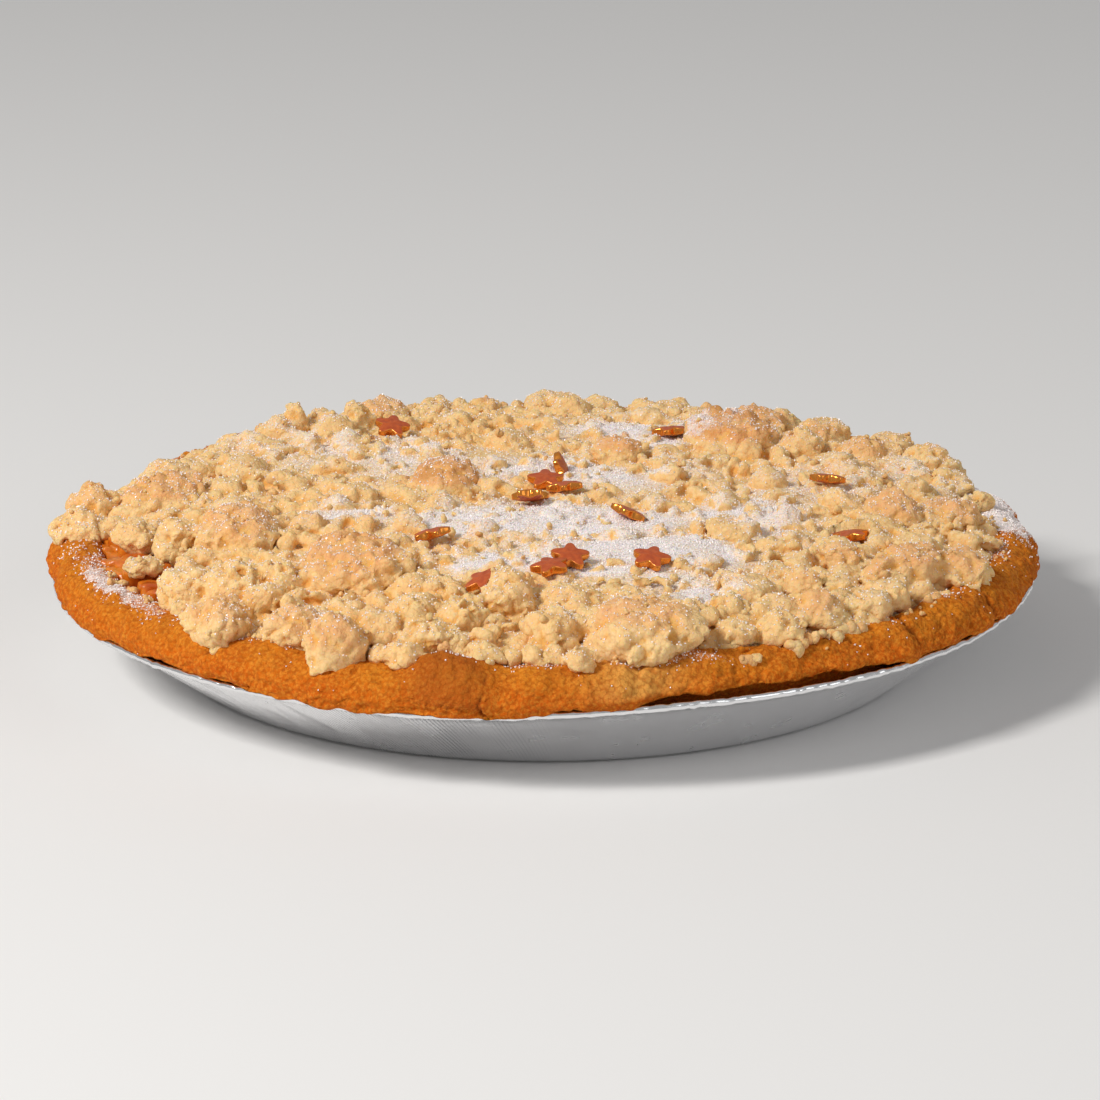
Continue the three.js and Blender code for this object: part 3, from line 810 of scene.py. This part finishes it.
def pastry_crust():
    profile, first = crust_profile(360 * np.arange(CRUST_STEPS) / CRUST_STEPS)
    points, faces = turned(profile)
    rings = profile.shape[1]
    ring = np.arange(len(points)) % rings
    seen = (ring >= first) & (ring < first + CRUST_RINGS) & (np.arange(len(points)) < CRUST_STEPS * rings)
    share = np.where(seen, (ring - first) / (CRUST_RINGS - 1), 0)
    mask = np.where(seen, smooth(0, 0.05, share) * smooth(1, 0.93, share), 0)
    _, degrees = polar(points)
    rough = about(degrees, ROUGH_BEARING, 4.5) * smooth(0.15, 0.35, share)
    bulge = np.exp(-(arc_between(degrees, BULGE_BEARING) / 4.3) ** 4)
    bulge = bulge * smooth(0.05, 0.3, share) * smooth(0.98, 0.7, share)
    relief = fractal(points, 8, 2, 34) * 0.55 + fractal(points, 3.2, 2, 35) * (0.45 + 0.3 * rough)
    near, _ = cells(points, 1.9, 45)
    relief += (0.5 - near) * (0.6 + 0.3 * rough) + noise(points, 1.3, 36) * 0.26
    near, second = cells(points, 3.4, 37)
    relief -= 0.5 * smooth(0.3, 0.05, near)
    relief -= 0.35 * smooth(0.12, 0.0, second - near) * smooth(-0.1, 0.4, noise(points, 9, 38))
    relief += bulge * (1.0 + 0.5 * noise(points, 4, 39))
    depths, crack = crust_cracks(points)
    relief -= depths
    points = points + point_normals(points, faces) * (relief * mask)[:, None]
    sugar = rim_sugar(points) * smooth(0.1, 0.4, share)
    # redder and darker towards the tin: partly deeper baking, partly painted reflected light from below
    low = smooth(26.6, 21.5, points[:, 2]) * (0.75 + 0.25 * noise(points, 9, 43))
    bake = bulge * 0.8 + 0.35 * smooth(0.1, 0.8, noise(points, 20, 44))
    piece = new_piece("shortcrust", points, faces, pastry_looks())
    # crack sets where shade is painted into the cracks
    give(piece, sugar=sugar, low=low, bake=bake, crack=crack * mask, pale=rough * mask)
    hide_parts("pastry_crust")
    return points, faces, sugar * mask


# --- Apple filling ---

SMALL_BITS = 26
BITS_BEARINGS = (183, 214)
BITS_RADII = (89, 96)


def apple_filling():
    """The syrupy top, cut apple set in it, and the plain body below."""
    steps, rings = 240, 26
    side = crust_wall(CRUST_FLOOR) - CRUST_THICKNESS - 0.6
    floor = CRUST_FLOOR + 0.3
    outer = [(side * 0.7, floor), (side, floor), (CRUST_INNER_RADIUS - 3.6, FILLING_TOP - 5)]
    top = [(r, FILLING_TOP) for r in np.linspace(CRUST_INNER_RADIUS - 0.4, 10, rings)]
    profile = np.repeat(np.array(outer + top, float)[None], steps, axis=0)
    points, faces = turned(profile)
    on_top = points[:, 2] > FILLING_TOP - 0.1
    near, second = cells(points, 7, 51)
    relief = smooth(0.0, 0.3, second - near) * 1.8 + fractal(points, 3, 2, 52) * 0.5 - 1.2
    points[:, 2] += np.where(on_top, relief, 0)
    parts = [(points, faces)]
    unit, ball_faces = unit_ball(4)
    rounded = unit / (np.abs(unit) ** 5).sum(axis=1)[:, None] ** 0.2
    rng = np.random.default_rng(53)
    bits = [(x * 1.025, y * 1.025, w, w * 0.75, CHUNK_HEIGHT + 0.5, FILLING_TOP) for x, y, w in CHUNKS]
    for _ in range(SMALL_BITS):
        bearing = math.radians(rng.uniform(*BITS_BEARINGS))
        r = rng.uniform(*BITS_RADII)
        w = rng.uniform(3, 6)
        z = FILLING_TOP + rng.uniform(-1, 0.4)
        bits.append((r * math.cos(bearing), r * math.sin(bearing), w, w * 0.8, w * 0.8, z))
    for x, y, w, d, h, z in bits:
        turn = rng.uniform(0, TAU)
        size = np.array([w, d, h]) / 2
        block = rounded * size * (1 + 0.12 * fractal(rounded + rng.uniform(0, 99), 0.8, 3, 54))[:, None]
        c, s = math.cos(turn), math.sin(turn)
        spun = block @ np.array([[c, s, 0.12], [-s, c, 0.1], [0, 0, 1]])
        parts.append((spun + [x, y, z], ball_faces))
    points, faces = joined(parts)
    piece = new_piece("apple_in_syrup", points, faces, apple_looks())
    give(piece, low=smooth(FILLING_TOP + 0.5, FILLING_TOP - 1, points[:, 2]))
    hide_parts("apple_filling")


# --- Crumble ---

HEAP_BOTTOM = 22.0
SLUMP = 0.8  # how much lower the heap's edge lies about this bearing
SLUMP_BEARING = 150
PIECE_TRIANGLES = 190000
BED_VOXEL = 0.62
LUMP_VOXEL = 0.55
LEAST_POINTS = 400  # of a body that is kept
STANDS_ON_EDGE = 0.7  # a star whose face looks up less than this presses nothing down
# Where the heap's foot is drawn in, or reaches out, [bearing, half width, how far]
FOOT_BAYS = [(290, 5, 4.5), (8, 14, 3.5), (180, 8, -3)]
BARE_DEPTH = 12
# Single crumbs, [count, sizes from and to, tops over the mound from and to, radii from and to]
CRUMBS = [(2600, 1.8, 5.2, -1.6, 0.9, 0, 84), (2100, 2.8, 7.5, -2.2, 1.8, 70, 104)]
# Knobs on a lump, [more for each mm, share of its width, least, greatest, share sunk in, uneven reach]
KNOBS = [(1.3, (0.28, 0.48), 2.6, 8.0, 0.46, (0.8, 1.0)), (6.0, (0.13, 0.22), 1.5, 3.2, 0.3, (0.93, 1.0))]
# Loose crumbs, and sugar grains with how readily they fall elsewhere, on the bed, the lumps and the rim
LOOSE_CRUMBS = (260, 130, 130)
GRAINS = [(30000, 0.015), (8500, 0.04), (6500, 0.003)]
# Where the dough has browned, [x, y, radius, strength]
BROWNED = [
    (-22, 10, 11, 0.95), (43, 48, 13, 0.9), (17, 34, 7, 0.6), (50, 68, 9, 0.6), (-84, 8, 12, 0.6),
    (-66, -28, 11, 0.5), (-40, -56, 14, 0.6), (-102, 5, 7, 0.35), (-42, -93, 9, 0.45), (20, -90, 12, 0.45),
    (-51, -82, 8, 0.35), (76, -11, 9, 0.45), (90, -6, 9, 0.5), (73, 41, 8, 0.4), (77, -46, 9, 0.5),
    (88, -42, 8, 0.5), (70, -51, 6, 0.45), (56, -74, 6, 0.4), (-66, -76, 9, 0.4), (-39, 80, 9, 0.4),
]
# Where sugar lies, seen from above, [x, y, half width, half depth, thickness]
DRIFTS = [
    (-14, -49, 12, 8, 1.0), (18, -46, 26, 18, 1.0), (8, -18, 34, 16, 0.85), (-12, -22, 24, 14, 0.8),
    (-44, -14, 15, 11, 0.75), (-28, 30, 26, 20, 0.6), (-52, 44, 18, 22, 0.55), (26, 54, 28, 14, 0.7),
    (6, 20, 30, 16, 0.7), (46, -14, 18, 22, 0.75), (62, 12, 20, 20, 0.5), (84, 26, 14, 18, 0.45),
    (30, -66, 12, 9, 0.8),
]


def lump_at(x, y, width, top):
    z = mound(math.hypot(x, y)) - CORE_SINK
    return x, y, z, width, 2 * (top - z)


def lumps_between():
    """Smaller lumps on an even spiral, by the same rule as the solid's."""
    rows = []
    named = np.array(LUMPS)
    for i in range(FILL_LUMPS):
        radius = (FOOT_RADIUS - 3) * math.sqrt((i + 0.5) / FILL_LUMPS)
        bearing = i * GOLDEN_ANGLE + 0.2 * draw(i)
        x, y = radius * math.cos(bearing), radius * math.sin(bearing)
        size = mix(FILL_WIDTH_INSIDE, FILL_WIDTH_OUTSIDE, smooth(50, 85, radius))
        width = size * mix(0.8, 1.3, draw(i + 500))
        gap = across(named, x, y)
        covered = (gap < named[:, 2] * 0.5 + width * 0.1).any()
        on_apple = any(math.hypot(cx - x, cy - y) < 10 for cx, cy, _ in CHUNKS)
        under_star = any(math.hypot(sx - x, sy - y) < STAR_RADIUS + width * 0.4 for sx, sy, *_ in STARS)
        if not (covered or on_apple or under_star):
            rows.append(lump_at(x, y, width, mound(radius) + width * mix(0.2, 0.4, draw(i + 900))))
    return np.array(rows)


def foot_at(degrees):
    """How far out the heap reaches at a bearing."""
    bays = sum(depth * about(degrees, bearing, half) for bearing, half, depth in FOOT_BAYS)
    bare = BARE_DEPTH * smooth(BARE_HALF_WIDTH + 4, BARE_HALF_WIDTH - 4, arc_between(degrees, BARE_BEARING))
    return FOOT_RADIUS + fractal(on_ring(degrees, 100), 13, 2, 61) * 1.4 - bays - bare


def heap_core():
    steps = 180
    degrees = 360 * np.arange(steps) / steps
    reach = (foot_at(degrees) - 5) / FOOT_RADIUS
    radii = np.linspace(FOOT_RADIUS, 6, 34)
    under_crumbs = mound(radii) - 2.4 - 1.8 * smooth(60, 90, radii)
    tops = np.stack([np.stack([radii * share, under_crumbs], axis=1) for share in reach])
    foot = np.stack([reach * FOOT_RADIUS * 0.94, np.full(steps, HEAP_BOTTOM)], axis=1)[:, None]
    return turned(np.concatenate([foot, tops], axis=1))


def clusters(rows, rng):
    """Each lump as an uneven body under rounded knobs of two sizes, within about the lump's own size."""
    unit, unit_faces = unit_ball(4)
    parts = [copies(unit, unit_faces, rows[:, :3], rows[:, [3, 3, 4]] * 0.7, rng, 0.2)]
    apart = rng.uniform(0, 500, (len(rows), 3))
    unit, unit_faces = unit_ball(3)
    for share, spread, least, most, sunk, stagger in KNOBS:
        places, sizes = [], []
        for (x, y, z, width, height), shift in zip(rows, apart):
            count = int(7 + width * share)
            k = (np.arange(count) + 0.5) / count
            lift = np.clip(1 - 1.35 * k + rng.uniform(-0.06, 0.06, count), -0.4, 1)
            turn = np.arange(count) * GOLDEN_ANGLE + rng.uniform(0, 0.6, count) + rng.uniform(0, TAU)
            flat = np.sqrt(1 - lift**2)
            way = np.stack([flat * np.cos(turn), flat * np.sin(turn), lift], axis=1)
            size = np.clip(width * rng.uniform(*spread, count), least, most)
            uneven = (1 + 0.2 * noise(way * 1.2 + shift, 1, 76)) * rng.uniform(*stagger, count)
            reach = np.array([width, width, height * 0.96]) / 2 * uneven[:, None] - size[:, None] * sunk
            places.append(np.array([x, y, z]) + way * reach)
            sizes.append(size[:, None] * rng.uniform(0.8, 1.2, (count, 3)))
        parts.append(copies(unit, unit_faces, np.concatenate(places), np.concatenate(sizes), rng, 0.16))
    return parts


def heap_crumbs(rng, count, least, most, low, high, inner, outer):
    """Single crumbs between two radii, none past the foot, with their tops that far over the mound."""
    radius = np.sqrt(rng.uniform(inner**2, outer**2, count))
    degrees = rng.uniform(0, 360, count)
    size = least * (most / least) ** (rng.random(count) ** 1.4)
    keep = radius + size * 0.4 < foot_at(degrees)
    radius, degrees, size = radius[keep], degrees[keep], size[keep]
    z = mound(radius) + rng.uniform(low, high, len(radius)) - size / 2
    a = np.radians(degrees)
    places = np.stack([radius * np.cos(a), radius * np.sin(a), z], axis=1)
    sizes = size[:, None] * rng.uniform(0.85, 1.15, (len(radius), 3))
    return copies(*unit_ball(3), places, sizes, rng, 0.14)


def sugar_field(points):
    """How thickly sugar lies at a place seen from above, 0 to 1."""
    x = points[:, 0] + 6 * noise(points * [1, 1, 0], 17, 71)
    y = points[:, 1] + 6 * noise(points * [1, 1, 0], 17, 72)
    field = np.full(len(points), 0.1)
    for cx, cy, wide, deep, thick in DRIFTS:
        away = ((x - cx) / wide) ** 2 + ((y - cy) / deep) ** 2
        field = np.maximum(field, thick * np.exp(-(away**1.5)))
    return field


def sugar_level(points, field):
    """The height up to which sugar fills the gaps between crumbs."""
    flat = points * [1, 1, 0]
    waves = 0.45 * noise(flat, 8, 73) + 0.15 * noise(flat, 1.6, 74) + 0.06 * noise(flat, 0.8, 75)
    return mound(across(points)) - 2.9 + 2.7 * field + waves


def star_frame(over, heading, tilt, lean):
    """How a star is turned, and how far its middle lies over the mound."""
    h, t, n = (math.radians(v) for v in (heading, tilt, -lean))
    spin = np.array([[math.cos(h), -math.sin(h), 0], [math.sin(h), math.cos(h), 0], [0, 0, 1]])
    pitch = np.array([[1, 0, 0], [0, math.cos(t), -math.sin(t)], [0, math.sin(t), math.cos(t)]])
    roll = np.array([[math.cos(n), 0, math.sin(n)], [0, 1, 0], [-math.sin(n), 0, math.cos(n)]])
    steepest = max(abs(t), abs(n))
    return roll @ pitch @ spin, STAR_WAIST * math.sin(steepest) + over


def bedded(points):
    """Presses the crumble down where a star lies on it."""
    for x, y, *lie in STARS:
        turn, lift = star_frame(*lie)
        z = mound(math.hypot(x, y)) + lift
        up = turn[:, 2]
        if up[2] < STANDS_ON_EDGE:
            continue
        away = across(points, x, y)
        under = z - (up[0] * (points[:, 0] - x) + up[1] * (points[:, 1] - y)) / up[2] - 0.35
        limit = np.where(away < STAR_RADIUS + 0.4, under, 99)
        points[:, 2] = np.minimum(points[:, 2], limit)
    return points


def broken(points):
    """Pushes round forms out of true, as crumbled dough is."""
    shift = [noise(points, 5.5, 81 + k) * 0.9 + noise(points, 2.4, 84 + k) * 0.45 for k in range(3)]
    return points + np.stack(shift, axis=1)


def crumble_form(parts, voxel, sugared):
    """One body from the parts, with the grain and cracks of crumbled dough, and level sugar if sugared."""
    points, faces = joined(parts)
    points = broken(points)
    radius, degrees = polar(points)
    points[:, 2] -= SLUMP * about(degrees, SLUMP_BEARING, 16) * smooth(75, 92, radius)
    hidden = np.where(radius < 88, mound(radius) - 6, HEAP_BOTTOM)
    points[:, 2] = np.maximum(points[:, 2], np.maximum(hidden, HEAP_BOTTOM))
    points, _, faces = remeshed(points, faces, voxel)
    points, faces = largest_bodies(points, faces, LEAST_POINTS)
    near, _ = cells(points, 1.9, 62)
    relief = 0.55 * (0.45 - near) + 0.34 * fractal(points, 1.5, 2, 63)
    bent = points + 0.9 * np.stack([noise(points, 3, 87 + k) for k in range(3)], axis=1)
    near, second = cells(bent, 5.4, 68)
    cracked = smooth(0.14, 0.02, second - near) * smooth(-0.35, 0.25, noise(points, 10, 69))
    cracked *= 0.35 + 0.65 * smooth(62, 84, across(points))
    relief += 0.55 * (0.45 - near) - 0.75 * cracked
    relief *= smooth(HEAP_BOTTOM + 0.5, HEAP_BOTTOM + 2, points[:, 2])
    points = points + point_normals(points, faces) * relief[:, None]
    points = mix(points, relaxed(points, faces, 1), 0.35)
    if sugared:
        deep = sugar_level(points, sugar_field(points)) - points[:, 2]
        open_to_sky = point_normals(points, faces)[:, 2] > -0.1
        points[:, 2] += np.where(open_to_sky & (deep > 0) & (deep < 4), deep, 0)
    return thinned(bedded(points), faces, PIECE_TRIANGLES)


def browning(points, normals, hollow):
    """How far each point has baked, 0 to 1: most on top of what stands out, least in the gaps."""
    above = points[:, 2] - mound(across(points))
    brown = 0.4 * smooth(0.1, 0.8, noise(points, 13, 65)) * smooth(-0.5, 2.5, above)
    for x, y, reach, strength in BROWNED:
        away = across(points, x, y)
        brown = np.maximum(brown, strength * smooth(reach, reach * 0.6, away) * smooth(-0.5, 2, above))
    return brown * (0.35 + 0.65 * smooth(-0.3, 0.5, normals[:, 2])) * smooth(0.35, 0.0, hollow)


def crumble_piece(name, parts, voxel, sugared, looks):
    points, normals, faces = crumble_form(parts, voxel, sugared)
    hollow = np.einsum("ij,ij->i", relaxed(points, faces, 8) - points, normals)
    brown = browning(points, normals, hollow)
    field = sugar_field(points)
    lying = smooth(0.1, 0.7, normals[:, 2])
    buried = smooth(-0.9, 0.2, sugar_level(points, field) - points[:, 2])
    dusted = (0.28 + 0.5 * field) * lying * smooth(-0.8, 0.4, noise(points, 5, 66) + 0.3)
    drifted = buried * lying * smooth(0.1, 0.75, field) * (0.75 + 0.3 * noise(points, 3, 67))
    sugar = np.maximum(dusted, drifted)
    piece = new_piece(name, points, faces, looks)
    # painted warm shade in the hollows, except where sugar fills them
    give(piece, brown=brown, cavity=smooth(0.05, 0.4, hollow) * (1 - buried), sugar=sugar)
    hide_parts("crumble_topping")
    return points, faces, sugar


def crumble(looks):
    rng = np.random.default_rng(60)
    lumps = np.array([lump_at(*row) for row in LUMPS])
    bed = [heap_core(), *clusters(lumps_between(), rng), *(heap_crumbs(rng, *row) for row in CRUMBS)]
    return [
        crumble_piece("crumble_bed", bed, BED_VOXEL, True, looks),
        crumble_piece("crumble_lumps", clusters(lumps, rng), LUMP_VOXEL, False, looks),
    ]


def loose_crumbs(heap, crust, looks):
    """Fine crumbs lying on the heap and along the rim, each of a few grains stuck together."""
    rng = np.random.default_rng(70)
    places = []
    for surface, count in zip([*heap, crust], LOOSE_CRUMBS):
        points, faces, _ = surface
        _, normal, middle = face_measures(points, faces)
        radius = across(middle)
        if surface is crust:
            weight = smooth(0.5, 0.9, normal[:, 2]) * smooth(104, 100, radius)
            weight = weight * (middle[:, 2] > FILLING_TOP)
        else:
            weight = smooth(0.05, 0.6, normal[:, 2]) * (0.3 + 0.7 * smooth(60, 95, radius))
        spots, _ = scatter(points, faces, weight * (0.2 + noise(middle, 12, 71) ** 2), count, rng)
        places.append(spots)
    size = 0.9 * (2.4 / 0.9) ** (rng.random(sum(len(spots) for spots in places)) ** 1.6)
    shown = crust[0][crust[0][:, 2] > FILLING_TOP]
    for x, y, width in SPILLED:
        under = shown[across(shown, x, y).argmin()]
        places.append(np.array([[x, y, under[2]]]))
        size = np.append(size, width)
    places = np.concatenate(places)
    places[:, 2] += size * 0.18
    stuck = 2
    size = np.repeat(size, stuck) * rng.uniform(0.6, 0.95, len(places) * stuck)
    places = np.repeat(places, stuck, axis=0) + rng.uniform(-0.33, 0.33, (len(size), 3)) * size[:, None]
    unit, unit_faces = unit_ball(2)
    sizes = size[:, None] * rng.uniform(0.7, 1.2, (len(places), 3))
    points, faces = copies(unit, unit_faces, places, sizes, rng, 0.3)
    piece = new_piece("crumble_crumbs", points, faces, looks)
    each = np.repeat(rng.random(len(places)), len(unit))
    give(piece, brown=0.6 * each, cavity=each * 0, sugar=0.25 * (1 - each))


# --- Star sprinkles ---

def star_form():
    """A five-pointed star with rounded tips and hollow flanks, thickest in the middle."""
    steps = 60
    a = TAU * np.arange(steps) / steps
    outline = STAR_WAIST + (STAR_RADIUS - STAR_WAIST) * ((1 + np.cos(5 * a)) / 2) ** 1.2
    half = STAR_THICKNESS / 2 * mix(1, 0.62, (outline - STAR_WAIST) / (STAR_RADIUS - STAR_WAIST))
    middle = STAR_THICKNESS / 2 * 1.08
    sides = [(-0.3, 1), (-0.1, 0.9), (0, 0.6), (-0.07, 0)]
    rings = [(0.45 * outline, -0.5 * (half + middle))]
    rings += [(outline + inset, -half * z) for inset, z in sides]
    rings += [(outline + inset, half * z) for inset, z in sides[-2::-1]]
    rings += [(0.45 * outline, 0.5 * (half + middle))]
    points, faces = turned(np.stack([np.stack(ring, axis=1) for ring in rings], axis=1))
    points[-2:, 2] = -middle, middle
    edge = np.append(np.tile([0, 0, 0.7, 1, 1, 1, 0.7, 0, 0], steps), [0, 0])
    return points, faces, edge


def star_sprinkles():
    form, form_faces, edge = star_form()
    parts = []
    for x, y, *lie in STARS:
        turn, lift = star_frame(*lie)
        z = mound(math.hypot(x, y)) + lift + 0.3
        parts.append((form @ turn.T + [x, y, z], form_faces))
    points, faces = joined(parts)
    piece = new_piece("star_sprinkles", points, faces, sprinkle_looks())
    give(piece, edge=np.tile(edge, len(STARS)))


# --- Sugar ---

def sugar_grains(heap, crust):
    """Fine crystals, thickest where the sugar lies in drifts."""
    rng = np.random.default_rng(80)
    crystal = np.array([[1, 1, 1], [-1, -1, 1], [-1, 1, -1], [1, -1, -1]], float) * 0.8
    crystal_faces = np.array([[0, 1, 3], [0, 2, 1], [0, 3, 2], [1, 2, 3]])
    places = []
    for (points, faces, sugar), (count, least) in zip([*heap, crust], GRAINS):
        _, normal, _ = face_measures(points, faces)
        weight = (sugar[faces].mean(axis=1) ** 1.6 + least) * smooth(0.1, 0.5, normal[:, 2])
        spots, up = scatter(points, faces, weight, count, rng)
        places.append(spots + up * 0.12)
    places = np.concatenate(places)
    size = rng.uniform(0.22, 0.42, len(places))[:, None] * rng.uniform(0.75, 1.25, (len(places), 3))
    points, faces = copies(crystal, crystal_faces, places, size, rng)
    piece = new_piece("sugar_grains", points, faces, sugar_looks())
    piece.data.shade_flat()


# --- Camera, light and floor ---

CAMERA_ELEVATION = 16.43
CAMERA_DISTANCE = 1.08
CAMERA_TARGET = Vector((0.00114, 0, 0.0218))
FOCAL_LENGTH = 160.1
LAMP_TARGET = Vector((0, 0, 0.02))
DAYLIGHT = 0.34
FLOOR_HALF = 6.0


def aimed(thing, place, target):
    """Puts a camera or lamp at a place, looking at the target."""
    thing.location = place
    thing.rotation_mode = "QUATERNION"
    thing.rotation_quaternion = (place - target).to_track_quat("Z", "Y")
    return thing


def camera():
    data = bpy.data.cameras.new("camera")
    data.lens = FOCAL_LENGTH
    data.sensor_width = 36
    data.clip_end = 50
    e = math.radians(CAMERA_ELEVATION)
    place = CAMERA_TARGET + Vector((0, -math.cos(e), math.sin(e))) * CAMERA_DISTANCE
    bpy.context.scene.camera = aimed(added("camera", data), place, CAMERA_TARGET)


def soft_light(name, place, size, power, colour):
    data = bpy.data.lights.new(name, "AREA")
    data.size = size
    data.energy = power
    data.color = colour
    aimed(added(name, data), Vector(place), LAMP_TARGET)


def studio():
    world = bpy.data.worlds.new("studio")
    world.use_nodes = True
    world.node_tree.nodes["Background"].inputs["Color"].default_value = (1, 1, 1, 1)
    world.node_tree.nodes["Background"].inputs["Strength"].default_value = DAYLIGHT
    bpy.context.scene.world = world
    bpy.context.scene.view_settings.view_transform = "Standard"
    soft_light("key", (-0.95, -0.75, 1.05), 0.35, 20, (1, 0.985, 0.96))
    soft_light("fill", (1.3, -0.9, 0.8), 1.0, 3.5, (0.97, 0.98, 1))
    mesh = bpy.data.meshes.new("floor")
    corners = [(x * FLOOR_HALF, y * FLOOR_HALF, 0) for x, y in ((-1, -1), (1, -1), (1, 1), (-1, 1))]
    mesh.from_pydata(corners, [], [(0, 1, 2, 3)])
    paint = bpy.data.materials.new("floor")
    paint.use_nodes = True
    shader = paint.node_tree.nodes["Principled BSDF"]
    shader.inputs["Base Color"].default_value = (0.82, 0.81, 0.80, 1)
    shader.inputs["Roughness"].default_value = 0.9
    mesh.materials.append(paint)
    added("floor", mesh)


camera()
studio()
foil_tin()
crust = pastry_crust()
apple_filling()
dough = crumble_looks()
heap = crumble(dough)
loose_crumbs(heap, crust, dough)
star_sprinkles()
sugar_grains(heap, crust)
